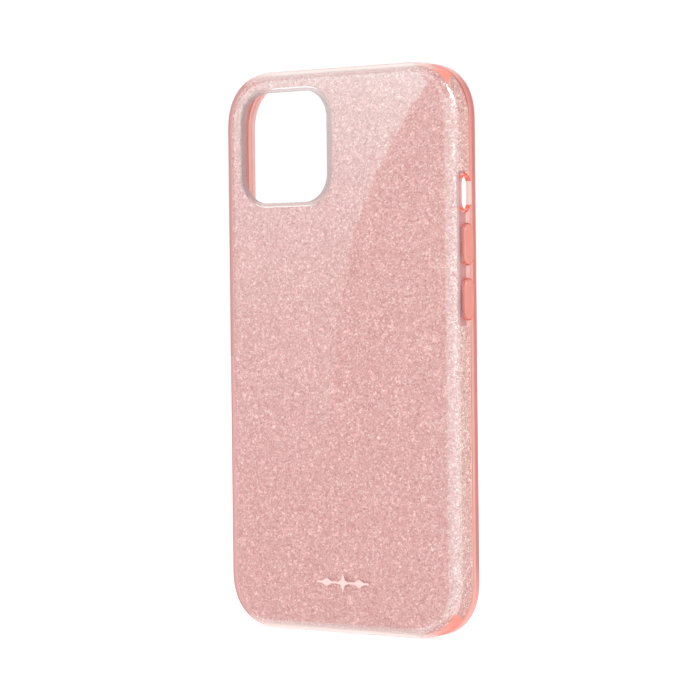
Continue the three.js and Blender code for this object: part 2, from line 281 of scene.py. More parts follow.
def case_block(name, side_inset, back_inset, front_y):
    """The case's body as a solid, inset at the sides and at the back, with its rounded edge."""
    piece = straight_block(name, side_inset, BACK_Y + EDGE_ROUND_DEPTH, front_y)
    round_over(
        piece, (0, -1, 0), EDGE_ROUND_SIDE - side_inset, EDGE_ROUND_DEPTH - back_inset, EDGE_STEPS
    )
    return piece


def combine(piece, other, operation):
    """Cuts, joins or intersects piece with other, which is used up."""
    activate(piece)
    modifier = piece.modifiers.new("combine", "BOOLEAN")
    modifier.operation = operation
    modifier.solver = "EXACT"
    modifier.material_mode = "TRANSFER"
    modifier.object = other
    bpy.ops.object.modifier_apply(modifier=modifier.name)
    bpy.data.objects.remove(other)
    return piece


def cut(piece, *cutters):
    for cutter in cutters:
        combine(piece, cutter, "DIFFERENCE")
    return piece


def soften(piece, width, segments=2, angle=40):
    """Rounds every edge sharper than the angle a little."""
    activate(piece)
    modifier = piece.modifiers.new("soften", "BEVEL")
    modifier.width = width
    modifier.segments = segments
    modifier.limit_method = "ANGLE"
    modifier.angle_limit = math.radians(angle)
    bpy.ops.object.modifier_apply(modifier=modifier.name)


def smooth(piece, angle=35):
    """Shades the piece smooth, and keeps its large flat faces flat."""
    activate(piece)
    bpy.ops.object.shade_smooth_by_angle(angle=math.radians(angle))
    modifier = piece.modifiers.new("flat faces", "WEIGHTED_NORMAL")
    modifier.mode = "FACE_AREA"
    modifier.weight = 100
    modifier.keep_sharp = True
    bpy.ops.object.modifier_apply(modifier=modifier.name)


def slice_at_depth(piece, depth):
    """Adds an edge loop all round the piece at this Y."""
    activate(piece)
    bpy.ops.object.mode_set(mode="EDIT")
    bpy.ops.mesh.select_all(action="SELECT")
    bpy.ops.mesh.bisect(plane_co=(0, depth, 0), plane_no=(0, 1, 0))
    bpy.ops.object.mode_set(mode="OBJECT")


def repaint(piece, old, new, wanted):
    """Gives the new material to the faces in the old one for which wanted(face) is true."""
    materials = piece.data.materials
    if new.name not in materials:
        materials.append(new)
    old_index = materials.find(old.name)
    new_index = materials.find(new.name)
    for face in piece.data.polygons:
        if face.material_index == old_index and wanted(face):
            face.material_index = new_index


def paint(piece, *materials):
    piece.data.materials.clear()
    for material in materials:
        piece.data.materials.append(material)
    return piece


def belongs(piece, body, slot, *nodes):
    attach(piece, body)
    if nodes:
        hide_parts(*nodes)
    return piece


# ---- Materials -----------------------------------------------------------------------------

def new_material(name):
    material = bpy.data.materials.new(name)
    material.use_nodes = True
    material.node_tree.nodes.clear()
    return material


def add(tree, kind, **values):
    """Adds a node and sets its inputs and properties by name."""
    node = tree.nodes.new(kind)
    for name, value in values.items():
        label = name.replace("_", " ")
        if label in node.inputs:
            node.inputs[label].default_value = value
        else:
            setattr(node, name, value)
    return node


def feed(tree, term, inlet):
    """Links a socket to the inlet, or sets the inlet to a plain value."""
    if isinstance(term, bpy.types.NodeSocket):
        tree.links.new(term, inlet)
    else:
        inlet.default_value = term


def calculate(tree, operation, *terms):
    """One sum on numbers and sockets."""
    node = add(tree, "ShaderNodeMath", operation=operation)
    for inlet, term in zip(node.inputs, terms):
        feed(tree, term, inlet)
    return node.outputs[0]


def share_between(tree, value, low, high, top=1.0):
    """0 where the value is low or less, and top where it is high or more."""
    node = add(tree, "ShaderNodeMapRange")
    node.inputs["From Min"].default_value = low
    node.inputs["From Max"].default_value = high
    node.inputs["To Max"].default_value = top
    tree.links.new(value, node.inputs["Value"])
    return node.outputs["Result"]


def colour_ramp(tree, source, stops):
    """Turns a value into a colour, by stops given as (value, colour) pairs."""
    node = add(tree, "ShaderNodeValToRGB")
    elements = node.color_ramp.elements
    while len(elements) < len(stops):
        elements.new(0.5)
    for element, (where, colour) in zip(elements, stops):
        element.position = where
        element.color = (*colour, 1)
    tree.links.new(source, node.inputs["Fac"])
    return node.outputs["Color"]


def mix_colours(tree, kind, share, first, second):
    """Mixes two colours. Each of the three is a plain value or a socket."""
    node = add(tree, "ShaderNodeMix", data_type="RGBA", blend_type=kind)
    for inlet, term in ((node.inputs[0], share), (node.inputs[6], first), (node.inputs[7], second)):
        feed(tree, term, inlet)
    return node.outputs[2]


def mix_shaders(tree, share, first, second):
    """The first shader where the share is 0, and the second where it is 1."""
    node = add(tree, "ShaderNodeMixShader")
    feed(tree, share, node.inputs[0])
    tree.links.new(first.outputs[0], node.inputs[1])
    tree.links.new(second.outputs[0], node.inputs[2])
    return node


def along_axes(tree, vector):
    """The X, Y and Z of a vector."""
    split = add(tree, "ShaderNodeSeparateXYZ")
    tree.links.new(vector, split.inputs[0])
    return split.outputs


def facing_axes(tree):
    """The X, Y and Z of the way that the surface faces."""
    return along_axes(tree, add(tree, "ShaderNodeTexCoord").outputs["Normal"])


def object_coordinates(tree, scale=1.0):
    """Object coordinates in millimetres, times scale."""
    source = add(tree, "ShaderNodeTexCoord")
    mapping = add(tree, "ShaderNodeMapping")
    mapping.inputs["Scale"].default_value = (scale / MM,) * 3
    tree.links.new(source.outputs["Object"], mapping.inputs["Vector"])
    return mapping.outputs["Vector"]


def moulded_surface_group():
    """Faint waves and handling marks of moulded plastic, as a normal and a roughness."""
    group = bpy.data.node_groups.new("moulded_surface", "ShaderNodeTree")
    face = group.interface
    roughness_in = face.new_socket("Roughness", in_out="INPUT", socket_type="NodeSocketFloat")
    roughness_in.default_value = 0.05
    spread_in = face.new_socket("Spread", in_out="INPUT", socket_type="NodeSocketFloat")
    spread_in.default_value = 0.03
    waves_in = face.new_socket("Waves", in_out="INPUT", socket_type="NodeSocketFloat")
    waves_in.default_value = 0.02
    face.new_socket("Roughness", in_out="OUTPUT", socket_type="NodeSocketFloat")
    face.new_socket("Normal", in_out="OUTPUT", socket_type="NodeSocketVector")
    inlet = add(group, "NodeGroupInput")
    outlet = add(group, "NodeGroupOutput")
    waves = add(group, "ShaderNodeTexNoise", Scale=1.0, Detail=2.0)
    group.links.new(object_coordinates(group, 0.06), waves.inputs["Vector"])
    bump = add(group, "ShaderNodeBump", Distance=1 * MM)
    group.links.new(waves.outputs["Fac"], bump.inputs["Height"])
    group.links.new(inlet.outputs["Waves"], bump.inputs["Strength"])
    marks = add(group, "ShaderNodeTexNoise", Scale=1.0, Detail=4.0)
    group.links.new(object_coordinates(group, 0.4), marks.inputs["Vector"])
    spread = calculate(group, "MULTIPLY", marks.outputs["Fac"], inlet.outputs["Spread"])
    total = calculate(group, "ADD", spread, inlet.outputs["Roughness"])
    group.links.new(total, outlet.inputs["Roughness"])
    group.links.new(bump.outputs["Normal"], outlet.inputs["Normal"])
    return group


def moulded_surface(tree, roughness, spread, waves):
    node = add(tree, "ShaderNodeGroup", node_tree=MOULDED_SURFACE)
    node.inputs["Roughness"].default_value = roughness
    node.inputs["Spread"].default_value = spread
    node.inputs["Waves"].default_value = waves
    return node


def give_surface(tree, shader, surface):
    """Gives a shader the roughness and the normal of the moulded surface."""
    tree.links.new(surface.outputs["Roughness"], shader.inputs["Roughness"])
    tree.links.new(surface.outputs["Normal"], shader.inputs["Normal"])


def finish_material(tree, shader):
    output = add(tree, "ShaderNodeOutputMaterial")
    tree.links.new(shader.outputs[0], output.inputs["Surface"])


def clear_gloss(name, tint, edge_tint, inner_tint, mirror=0.04, ends=(0.3, 0.85, 0)):
    """See-through polished plastic: tinted, with a mirror share that rises towards its edges.

    The edge tint shows where it is seen at a slant, and the inner tint where it is looked right
    through. Light that leaves it from inside passes freely. Where it turns up or down it is
    milky, a painted sheen for the highlights on the top and bottom edges: ends gives the slopes
    between which this sets in, and its full share.
    """
    material = new_material(name)
    tree = material.node_tree
    slant = add(tree, "ShaderNodeLayerWeight", Blend=0.5).outputs["Facing"]
    from_inside = add(tree, "ShaderNodeNewGeometry").outputs["Backfacing"]
    seen_directly = add(tree, "ShaderNodeLightPath").outputs["Is Camera Ray"]

    grazing = calculate(tree, "POWER", slant, EDGE_TINT_POWER)
    colour = mix_colours(tree, "MIX", grazing, (*tint, 1), (*edge_tint, 1))
    leaving = calculate(tree, "MULTIPLY", from_inside, seen_directly)
    colour = mix_colours(tree, "MULTIPLY", leaving, colour, (*inner_tint, 1))
    through = add(tree, "ShaderNodeBsdfTransparent")
    tree.links.new(colour, through.inputs["Color"])

    # Where the surface turns up or down it gets a pale diffuse haze: painted sheen for the
    # highlights on the top and bottom edges.
    facing = facing_axes(tree)
    upright = calculate(tree, "ABSOLUTE", facing[2])
    sideways = calculate(tree, "ABSOLUTE", facing[0])
    painted_sheen_share = share_between(tree, calculate(tree, "SUBTRACT", upright, sideways), *ends)
    painted_sheen = add(tree, "ShaderNodeBsdfDiffuse", Color=PAINTED_SHEEN_COLOUR)
    inside = mix_shaders(tree, painted_sheen_share, through, painted_sheen)

    gloss = add(tree, "ShaderNodeBsdfGlossy", Color=(1, 1, 1, 1))
    give_surface(tree, gloss, moulded_surface(tree, 0.012, 0.01, 0.005))
    steep = calculate(tree, "POWER", slant, MIRROR_POWER)
    share = calculate(tree, "MULTIPLY_ADD", steep, MIRROR_RISE, mirror)
    outside = calculate(tree, "SUBTRACT", 1, from_inside)
    coat = mix_shaders(tree, calculate(tree, "MULTIPLY", share, outside), inside, gloss)
    finish_material(tree, coat)
    return material


def bonded_face(name):
    """The skin's inner face, wetted to the sheet so that it neither mirrors nor tints."""
    material = new_material(name)
    tree = material.node_tree
    through = add(tree, "ShaderNodeBsdfTransparent", Color=(1, 1, 1, 1))
    finish_material(tree, through)
    return material


def colour_and_painted_light_along_height(tree, colour, hues_and_painted_light):
    """Multiplies a colour by (height in millimetres, colour) pairs: own hue and painted highlights.
    """
    lowest, highest = hues_and_painted_light[0][0], hues_and_painted_light[-1][0]
    height = along_axes(tree, object_coordinates(tree))[2]
    shade = colour_ramp(tree, share_between(tree, height, lowest, highest), [
        ((where - lowest) / (highest - lowest), hue) for where, hue in hues_and_painted_light
    ])
    return mix_colours(tree, "MULTIPLY", 1.0, colour, shade)


def milky_plastic(
    name, pale, deep, clear_share, hues_and_painted_light=None, painted_glow=0.0, lets_light_in=False
):
    """Soft tinted plastic where it is thick: milky, a little see-through, polished."""
    material = new_material(name)
    tree = material.node_tree
    clouds = add(tree, "ShaderNodeTexNoise", Scale=1.0, Detail=3.0)
    tree.links.new(object_coordinates(tree, 0.25), clouds.inputs["Vector"])
    hue = colour_ramp(tree, clouds.outputs["Fac"], [(0.3, deep), (0.7, pale)])
    # A ramp along the height gives the plastic's own hue and painted highlights.
    if hues_and_painted_light:
        hue = colour_and_painted_light_along_height(tree, hue, hues_and_painted_light)
    body = add(tree, "ShaderNodeBsdfPrincipled", IOR=1.47)
    # Painted glow: emission that brightens the plastic though it is no lamp.
    body.inputs["Emission Color"].default_value = (*pale, 1)
    body.inputs["Emission Strength"].default_value = painted_glow
    tree.links.new(hue, body.inputs["Base Color"])
    give_surface(tree, body, moulded_surface(tree, 0.12, 0.06, 0.05))
    glow = add(tree, "ShaderNodeBsdfTranslucent")
    tree.links.new(hue, glow.inputs["Color"])
    lit = mix_shaders(tree, TRANSLUCENT_SHARE, body, glow)
    through = add(tree, "ShaderNodeBsdfTransparent", Color=(*pale, 1))
    plastic = mix_shaders(tree, clear_share, lit, through)
    if lets_light_in:
        seen_directly = add(tree, "ShaderNodeLightPath").outputs["Is Camera Ray"]
        plastic = mix_shaders(tree, seen_directly, through, plastic)
    finish_material(tree, plastic)
    return material


def glitter_material(name):
    """Rose film packed with fine flakes, each with its own shade and tilt.

    On the folded sides the flakes carry painted glints and painted shade, so they differ more
    from each other than on the flat back.
    """
    material = new_material(name)
    tree = material.node_tree

    def flakes(cells_per_mm):
        cells = add(tree, "ShaderNodeTexVoronoi", Scale=1.0, Randomness=1.0)
        tree.links.new(object_coordinates(tree, cells_per_mm), cells.inputs["Vector"])
        split = add(tree, "ShaderNodeSeparateColor")
        tree.links.new(cells.outputs["Color"], split.inputs[0])
        return cells, split

    fine_cells, fine = flakes(2.8)
    _, coarse = flakes(1.15)
    on_the_back = colour_ramp(tree, fine.outputs[0], [
        (0.0, (0.54, 0.28, 0.27)),
        (0.25, (0.64, 0.385, 0.372)),
        (0.7, (0.695, 0.44, 0.43)),
        (0.88, (0.75, 0.53, 0.51)),
        (1.0, (0.88, 0.74, 0.70)),
    ])
    # Painted glints and shade for the flakes on the folded sides.
    sides_with_painted_glints = colour_ramp(tree, fine.outputs[0], [
        (0.0, (0.45, 0.18, 0.17)),
        (0.25, (0.62, 0.36, 0.345)),
        (0.7, (0.71, 0.455, 0.44)),
        (0.88, (0.81, 0.61, 0.58)),
        (1.0, (1.0, 0.96, 0.90)),
    ])
    folded = share_between(tree, facing_axes(tree)[1], -0.98, -0.6)
    base = mix_colours(tree, "MIX", folded, on_the_back, sides_with_painted_glints)
    patches = colour_ramp(tree, coarse.outputs[1], [
        (0.0, (0.93, 0.88, 0.88)),
        (0.15, (0.97, 0.95, 0.95)),
        (0.8, (1.0, 1.0, 1.0)),
        (0.9, (1.04, 1.05, 1.05)),
        (1.0, (1.20, 1.25, 1.24)),
    ])
    body = add(tree, "ShaderNodeBsdfPrincipled", Metallic=0.1, Roughness=0.35)
    colour = mix_colours(tree, "MULTIPLY", 1.0, base, patches)
    tree.links.new(colour, body.inputs["Base Color"])

    centre = add(tree, "ShaderNodeVectorMath", operation="SUBTRACT")
    centre.inputs[1].default_value = (0.5, 0.5, 0.5)
    tree.links.new(fine_cells.outputs["Color"], centre.inputs[0])
    tilt = add(tree, "ShaderNodeVectorMath", operation="SCALE", Scale=0.5)
    tree.links.new(centre.outputs[0], tilt.inputs[0])
    tilted = add(tree, "ShaderNodeVectorMath", operation="ADD")
    tree.links.new(add(tree, "ShaderNodeNewGeometry").outputs["Normal"], tilted.inputs[0])
    tree.links.new(tilt.outputs[0], tilted.inputs[1])
    unit = add(tree, "ShaderNodeVectorMath", operation="NORMALIZE")
    tree.links.new(tilted.outputs[0], unit.inputs[0])
    tree.links.new(unit.outputs[0], body.inputs["Normal"])
    finish_material(tree, body)
    return material


def backing_material(name):
    """The film's plain side: pale rose, matt, faintly mottled."""
    material = new_material(name)
    tree = material.node_tree
    mottle = add(tree, "ShaderNodeTexNoise", Scale=1.0, Detail=3.0)
    tree.links.new(object_coordinates(tree, 1.2), mottle.inputs["Vector"])
    colour = colour_ramp(tree, mottle.outputs["Fac"], [
        (0.35, (0.80, 0.62, 0.60)), (0.65, (0.88, 0.72, 0.70))
    ])
    body = add(tree, "ShaderNodeBsdfPrincipled", Roughness=0.55)
    tree.links.new(colour, body.inputs["Base Color"])
    finish_material(tree, body)
    return material


def foil_material(name):
    """Pale pressed foil with a fine grain."""
    material = new_material(name)
    tree = material.node_tree
    grain = add(tree, "ShaderNodeTexNoise", Scale=1.0, Detail=3.0)
    tree.links.new(object_coordinates(tree, 3.0), grain.inputs["Vector"])
    colour = colour_ramp(tree, grain.outputs["Fac"], [
        (0.0, (0.97, 0.80, 0.78)), (1.0, (1.0, 0.93, 0.91))
    ])
    body = add(tree, "ShaderNodeBsdfPrincipled", Metallic=0.15)
    tree.links.new(colour, body.inputs["Base Color"])
    give_surface(tree, body, moulded_surface(tree, 0.22, 0.15, 0.15))
    finish_material(tree, body)
    return material


MOULDED_SURFACE = moulded_surface_group()
# Both skins carry painted sheen on their top and bottom edges, as ends sets it.
SKIN = clear_gloss(
    "coral_skin", (0.99, 0.89, 0.885), (0.85, 0.50, 0.46), (0.66, 0.40, 0.385),
    mirror=0.075, ends=(0.25, 0.75, 0.7),
)
BONDED = bonded_face("bonded_inner_face")
SIDE_SKIN = clear_gloss(
    "coral_side_skin", (1.0, 0.955, 0.935), (0.95, 0.70, 0.66), (0.66, 0.40, 0.385),
    mirror=0.02, ends=(0.75, 1.0, 0.5),
)
# The corner webs carry a painted glow, so that they stay bright.
WEB = milky_plastic("corner_coral", (1.0, 0.35, 0.26), (1.0, 0.31, 0.22), 0.0, painted_glow=0.3)
CORAL = milky_plastic("thick_coral", (1.0, 0.32, 0.23), (1.0, 0.26, 0.18), 0.05)
PALE_CORAL = milky_plastic("thin_coral", (1.0, 0.80, 0.76), (0.97, 0.74, 0.70), 0.4)
# Along the height the lips keep their own coral in the middle, and carry painted highlights at the
# bottom and top ends, where their stops turn pale.
LIP_HUES_AND_PAINTED_HIGHLIGHTS = [
    (0, (1.0, 0.62, 0.56)), (9, (0.98, 0.56, 0.52)), (20, (0.68, 0.30, 0.29)),
    (144, (0.64, 0.28, 0.26)), (150, (0.98, 0.72, 0.69)),
]
LIP_BAND_HUES_AND_PAINTED_HIGHLIGHTS = [
    (0, (0.98, 0.60, 0.55)), (9, (0.90, 0.60, 0.57)), (100, (0.88, 0.55, 0.51)),
    (132, (0.90, 0.42, 0.37)), (144, (0.74, 0.37, 0.34)), (150, (0.98, 0.72, 0.69)),
]
LIP = milky_plastic(
    "front_lip_coral", (1.0, 0.85, 0.82), (0.98, 0.80, 0.77), 0.0,
    hues_and_painted_light=LIP_HUES_AND_PAINTED_HIGHLIGHTS, lets_light_in=True,
)
# A paler copy of the lip: painted light for the bright band where the sheet ends.
LIP_PAINTED_BRIGHT_BAND = milky_plastic(
    "lip_edge_painted_bright_band", (1.0, 0.90, 0.87), (0.98, 0.86, 0.83), 0.1,
    hues_and_painted_light=LIP_BAND_HUES_AND_PAINTED_HIGHLIGHTS, lets_light_in=True,
)
RIM_SIDE = milky_plastic("switch_rim_side", (1.0, 0.90, 0.87), (0.98, 0.84, 0.81), 0.0)
# Mauve painted shade, for the shaded notch beside the volume pads and the openings' rear walls.
PAINTED_SHADE_MAUVE = milky_plastic("button_panel_painted_shade", (0.80, 0.50, 0.51), (0.68, 0.41, 0.42), 0.1)
PANEL_PALE = milky_plastic("button_panel_pink", (1.0, 0.80, 0.78), (0.98, 0.72, 0.70), 0.1)
PAD = milky_plastic("button_coral", (0.97, 0.45, 0.37), (0.93, 0.39, 0.31), 0.0)
# Darker mauve for the camera opening's wall: painted shade in the recess.
CAMERA_WALL_PAINTED_SHADE = milky_plastic("camera_wall_painted_shade", (0.60, 0.46, 0.46), (0.52, 0.40, 0.40), 0.2)
COLLAR_RING = milky_plastic("camera_ring", (0.78, 0.62, 0.61), (0.70, 0.55, 0.54), 0.35)
TRAY = clear_gloss("clear_tray", (0.97, 0.94, 0.94), (0.90, 0.84, 0.84), (1, 1, 1))
GLITTER = glitter_material("rose_glitter")
BACKING = backing_material("film_backing")
FOIL = foil_material("pale_foil")


# ---- Shared cutters ------------------------------------------------------------------------

def camera_cutter(margin, low_y, high_y):
    half_width = CAMERA_WIDTH / 2 + margin
    half_height = CAMERA_HEIGHT / 2 + margin
    return prism(
        "camera_cutter",
        (CAMERA_X - half_width, low_y, CAMERA_Z - half_height),
        (CAMERA_X + half_width, high_y, CAMERA_Z + half_height),
        along=1,
        radius=CAMERA_RADIUS + margin,
        segments=CAMERA_SEGMENTS,
    )


def side_bar(name, side, low_x, high_x, middle_z, length, width, middle_y=BUTTON_Y):
    """A bar with round ends through the side wall: side is 1 or -1, heights along Z."""
    xs = sorted((side * low_x, side * high_x))
    return prism(
        name,
        (xs[0], middle_y - width / 2, middle_z - length / 2),
        (xs[1], middle_y + width / 2, middle_z + length / 2),
        along=0,
        radius=width / 2,
        segments=BAR_SEGMENTS,
    )


def bottom_bar(name, middle_x, length, width, low_z, high_z):
    return prism(
        name,
        (middle_x - length / 2, SLOT_Y - width / 2, low_z),
        (middle_x + length / 2, SLOT_Y + width / 2, high_z),
        along=2,
        radius=width / 2,
        segments=BAR_SEGMENTS,
    )


def side_notch(side, low_z, high_z, margin=0.0):
    inner_x = HALF_WIDTH - SIDE_WALL - NOTCH_INTO_TRAY
    xs = sorted((side * inner_x, side * (HALF_WIDTH + BEYOND)))
    return prism(
        "side_notch",
        (xs[0], NOTCH_BACK_Y + margin, low_z + margin),
        (xs[1], FRONT_Y + BEYOND, high_z - margin),
        along=0,
        radius=NOTCH_RADIUS,
        segments=NOTCH_SEGMENTS,
    )


def bottom_notch(margin=0.0):
    half_width = PORT_NOTCH_HALF_WIDTH - margin
    return prism(
        "bottom_notch",
        (-half_width, NOTCH_BACK_Y + margin, SHELL_LOW.z - BEYOND),
        (half_width, FRONT_Y + BEYOND, SHELL_LOW.z + SIDE_WALL + NOTCH_INTO_TRAY),
        along=2,
        radius=NOTCH_RADIUS,
        segments=NOTCH_SEGMENTS,
    )


def button_middle(node):
    low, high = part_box(node)
    return (low.z + high.z) / 2


def button_size(node):
    low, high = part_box(node)
    return high.z - low.z, high.y - low.y


def button_opening(node, side):
    """The hole through the side wall that a button cover moves in."""
    length, width = button_size(node)
    return side_bar(
        "button_opening",
        side,
        HALF_WIDTH - SIDE_WALL - BEYOND,
        HALF_WIDTH + BEYOND,
        button_middle(node),
        length + 2 * BUTTON_CLEARANCE,
        width + 2 * BUTTON_CLEARANCE,
    )


def port_openings():
    """The charging port's opening and the speakers' slots beside it."""
    low_z, high_z = SHELL_LOW.z - BEYOND, SHELL_LOW.z + BEYOND
    return [bottom_bar("port", 0, *PORT_SIZE, low_z, high_z)] + [
        bottom_bar("speaker", side * SPEAKER_X, *SPEAKER_SIZE, low_z, high_z) for side in (-1, 1)
    ]


def side_button_notch(margin=0.0):
    length, _ = button_size("side_button_cover")
    middle = button_middle("side_button_cover")
    reach = length / 2 + SIDE_NOTCH_MARGIN
    return side_notch(-1, middle - reach, middle + reach, margin)


def shared_cutters():
    """What the sheet and the tray both leave open."""
    return (
        side_notch(1, *VOLUME_NOTCH),
        side_button_notch(),
        bottom_notch(),
        camera_cutter(COLLAR_WALL + COLLAR_CLEARANCE, BACK_Y - BEYOND, BACK_Y + 2 * BACK_WALL),
    )


def corner_wedge(side_x, side_z, margin=0.0):
    """The gap that the sheet leaves at one corner, as a block that reaches outwards."""
    def across(degrees):
        return CORNER_REACH * math.sin(math.radians(degrees - 45))

    start_crease, end_crease, start_front, end_front = map(
        across, TOP_GAP if side_z > 0 else BOTTOM_GAP
    )
    crease_y = GAP_CREASE_Y + margin
    near, far = start_front + margin, end_front - margin
    piece = box_piece(
        "corner_wedge",
        (near, crease_y, CORNER_REACH / 2),
        (far, SHEET_FRONT_Y + 1 * MM, 1.5 * CORNER_REACH),
    )
    bpy.ops.object.mode_set(mode="EDIT")

    def at(edge, x):
        return all(
            abs(vert.co.x - x) < 0.01 * MM and abs(vert.co.y - crease_y) < 0.01 * MM
            for vert in edge.verts
        )

    for x, wanted in ((near, start_crease + margin), (far, end_crease - margin)):
        select_edges(piece, lambda edge: runs_along(edge, 2) and at(edge, x))
        bpy.ops.transform.translate(value=(wanted - x, 0, 0))
    bpy.ops.object.mode_set(mode="OBJECT")
    # X runs round the corner from the long side to the short one, and Z outwards.
    round_corner = Vector((-side_x, 0, side_z)) / math.sqrt(2)
    outwards = Vector((side_x, 0, side_z)) / math.sqrt(2)
    centre = Vector((
        side_x * (HALF_WIDTH - CORNER_REACH),
        0,
        MIDDLE_Z + side_z * (HALF_HEIGHT - CORNER_REACH),
    ))
    place = Matrix.Translation(centre) @ Matrix((
        (round_corner.x, 0, outwards.x, 0),
        (0, 1, 0, 0),
        (round_corner.z, 0, outwards.z, 0),
        (0, 0, 0, 1),
    ))
    piece.data.transform(place)
    activate(piece)
    bpy.ops.object.mode_set(mode="EDIT")
    bpy.ops.mesh.select_all(action="SELECT")
    bpy.ops.mesh.normals_make_consistent(inside=False)
    bpy.ops.object.mode_set(mode="OBJECT")
    return piece


CORNERS = {
    "top_right": (1, 1),
    "bottom_right": (1, -1),
    "top_left": (-1, 1),
    "bottom_left": (-1, -1),
}


# ---- Soft outer shell ----------------------------------------------------------------------

def build_outer_shell():
    shell = case_block("soft_shell", 0, 0, FRONT_Y - FRONT_ROUND)
    round_over(shell, (0, 1, 0), FRONT_ROUND, FRONT_ROUND, FRONT_STEPS)
    paint(shell, SKIN)
    layers = paint(
        case_block("layers_pocket", SKIN_SIDE, SKIN_BACK, POCKET_FRONT_Y), BONDED
    )
    phone = paint(straight_block("phone_pocket", SIDE_WALL, 0, LIP_Y), PALE_CORAL)
    screen = paint(
        straight_block("screen_opening", SIDE_WALL + LIP_OVERHANG, 0, FRONT_Y + BEYOND), PALE_CORAL
    )
    cut(shell, layers, phone, screen)

    collar = paint(
        camera_cutter(COLLAR_WALL, BACK_Y + SKIN_BACK / 2, BACK_Y + BACK_WALL), COLLAR_RING
    )
    combine(shell, collar, "UNION")
    rim = side_bar(
        "switch_rim",
        1,
        HALF_WIDTH - SIDE_WALL,
        HALF_WIDTH - SKIN_SIDE / 2,
        MUTE_Z,
        MUTE_LENGTH + 2 * MUTE_RIM,
        MUTE_WIDTH + 2 * MUTE_RIM,
        SLOT_Y,
    )
    combine(shell, paint(rim, CORAL), "UNION")

    switch_slot = side_bar(
        "switch_slot",
        1,
        HALF_WIDTH - SIDE_WALL - BEYOND,
        HALF_WIDTH + BEYOND,
        MUTE_Z,
        MUTE_LENGTH,
        MUTE_WIDTH,
        SLOT_Y,
    )
    openings = [switch_slot]
    for node, (_, side) in BUTTONS.items():
        openings.append(button_opening(node, side))
    openings += port_openings()
    for opening in openings:
        cut(shell, paint(opening, CORAL))
    # The camera opening's wall is painted shade.
    cut(shell, paint(camera_cutter(0, BACK_Y - BEYOND, BACK_Y + BEYOND), CAMERA_WALL_PAINTED_SHADE))
    # The paler band round the sheet's front edge is painted light.
    bright_band_start, bright_band_end = (SHEET_FRONT_Y + step for step in LIP_PAINTED_BRIGHT_SPAN)
    slice_at_depth(shell, bright_band_start)
    slice_at_depth(shell, bright_band_end)
    repaint(shell, SKIN, LIP_PAINTED_BRIGHT_BAND, lambda face: bright_band_start < face.center.y < bright_band_end)
    repaint(shell, SKIN, LIP, lambda face: face.center.y > bright_band_end)
    repaint(shell, SKIN, SIDE_SKIN, lambda face: face.center.y > BACK_Y + EDGE_ROUND_DEPTH)
    # The openings' rear walls, facing the front, get painted shade.
    repaint(shell, CORAL, PAINTED_SHADE_MAUVE, lambda face: face.normal.y > 0.8)
    repaint(shell, CORAL, RIM_SIDE, lambda face: abs(face.normal.z) < 0.35)
    soften(shell, SHELL_SOFTENING)
    smooth(shell)
    return belongs(shell, BODY, "soft_shell", "outer_shell")


def filling(name, thickness, front_y):
    """A thin layer that lines the clear skin, as part of the soft shell."""
    outer_side = SKIN_SIDE + FILLING_GAP
    piece = case_block(name, outer_side, SKIN_BACK, front_y)
    return outer_side + thickness, piece


def build_corner_webs():
    """The soft shell's deep coral filling in the gaps at the sheet's corners."""
    for name, (side_x, side_z) in CORNERS.items():
        inner_side, web = filling(
            "corner_web_" + name, CORNER_WEB_THICKNESS, SHEET_FRONT_Y + CORNER_WEB_LAP
        )
        inner_back = SKIN_BACK + CORNER_WEB_THICKNESS
        cut(web, case_block("inner", inner_side, inner_back, SHEET_FRONT_Y + BEYOND))
        combine(web, corner_wedge(side_x, side_z, CORNER_WEB_MARGIN), "INTERSECT")
        paint(web, WEB)
        smooth(web)
        belongs(web, BODY, "soft_shell")


def build_button_panels():
    """Thicker parts of the soft shell in the notches beside the buttons and over the port."""
    def panel(name, notch, material, openings):
        inner_side, piece = filling(name, PANEL_THICKNESS, TRAY_FRONT_Y)
        cut(piece, case_block("inner", inner_side, SKIN_BACK, FRONT_Y + BEYOND))
        combine(piece, notch, "INTERSECT")
        cut(piece, *openings)
        paint(piece, material)
        smooth(piece)
        return belongs(piece, BODY, "soft_shell")

    rim = side_bar(
        "rim_opening", 1, HALF_WIDTH - BEYOND, HALF_WIDTH + BEYOND, MUTE_Z,
        MUTE_LENGTH + 2 * MUTE_RIM + FILLING_GAP, MUTE_WIDTH + 2 * MUTE_RIM + FILLING_GAP, SLOT_Y,
    )
    # Behind the volume pads the panel is mauve painted shade; its front part is pale pink.
    volume_panel = panel(
        "volume_side_panel",
        side_notch(1, *VOLUME_NOTCH, FILLING_GAP),
        PAINTED_SHADE_MAUVE,
        [rim, button_opening("volume_up_cover", 1), button_opening("volume_down_cover", 1)],
    )
    slice_at_depth(volume_panel, PALE_PANEL_Y)
    repaint(volume_panel, PAINTED_SHADE_MAUVE, PANEL_PALE, lambda face: face.center.y > PALE_PANEL_Y)
    panel(
        "power_side_panel",
        side_button_notch(FILLING_GAP),
        PALE_CORAL,
        [button_opening("side_button_cover", -1)],
    )
    panel("port_side_panel", bottom_notch(FILLING_GAP), CORAL, port_openings())


# ---- Sheet and tray ------------------------------------------------------------------------

def build_glitter_sheet():
    side = SKIN_SIDE + LAYER_GAP
    back = SKIN_BACK + LAYER_GAP
    sheet = paint(case_block("glitter_film", side, back, SHEET_FRONT_Y), GLITTER)
    inside = case_block(
        "inside", side + SHEET_THICKNESS, back + SHEET_THICKNESS, FRONT_Y + BEYOND
    )
    cut(sheet, paint(inside, BACKING))
    for cutter in shared_cutters():
        cut(sheet, paint(cutter, GLITTER))
    for side_x, side_z in CORNERS.values():
        cut(sheet, paint(corner_wedge(side_x, side_z), GLITTER))
    smooth(sheet)
    return belongs(sheet, BODY, "glitter_film", "glitter_sheet")


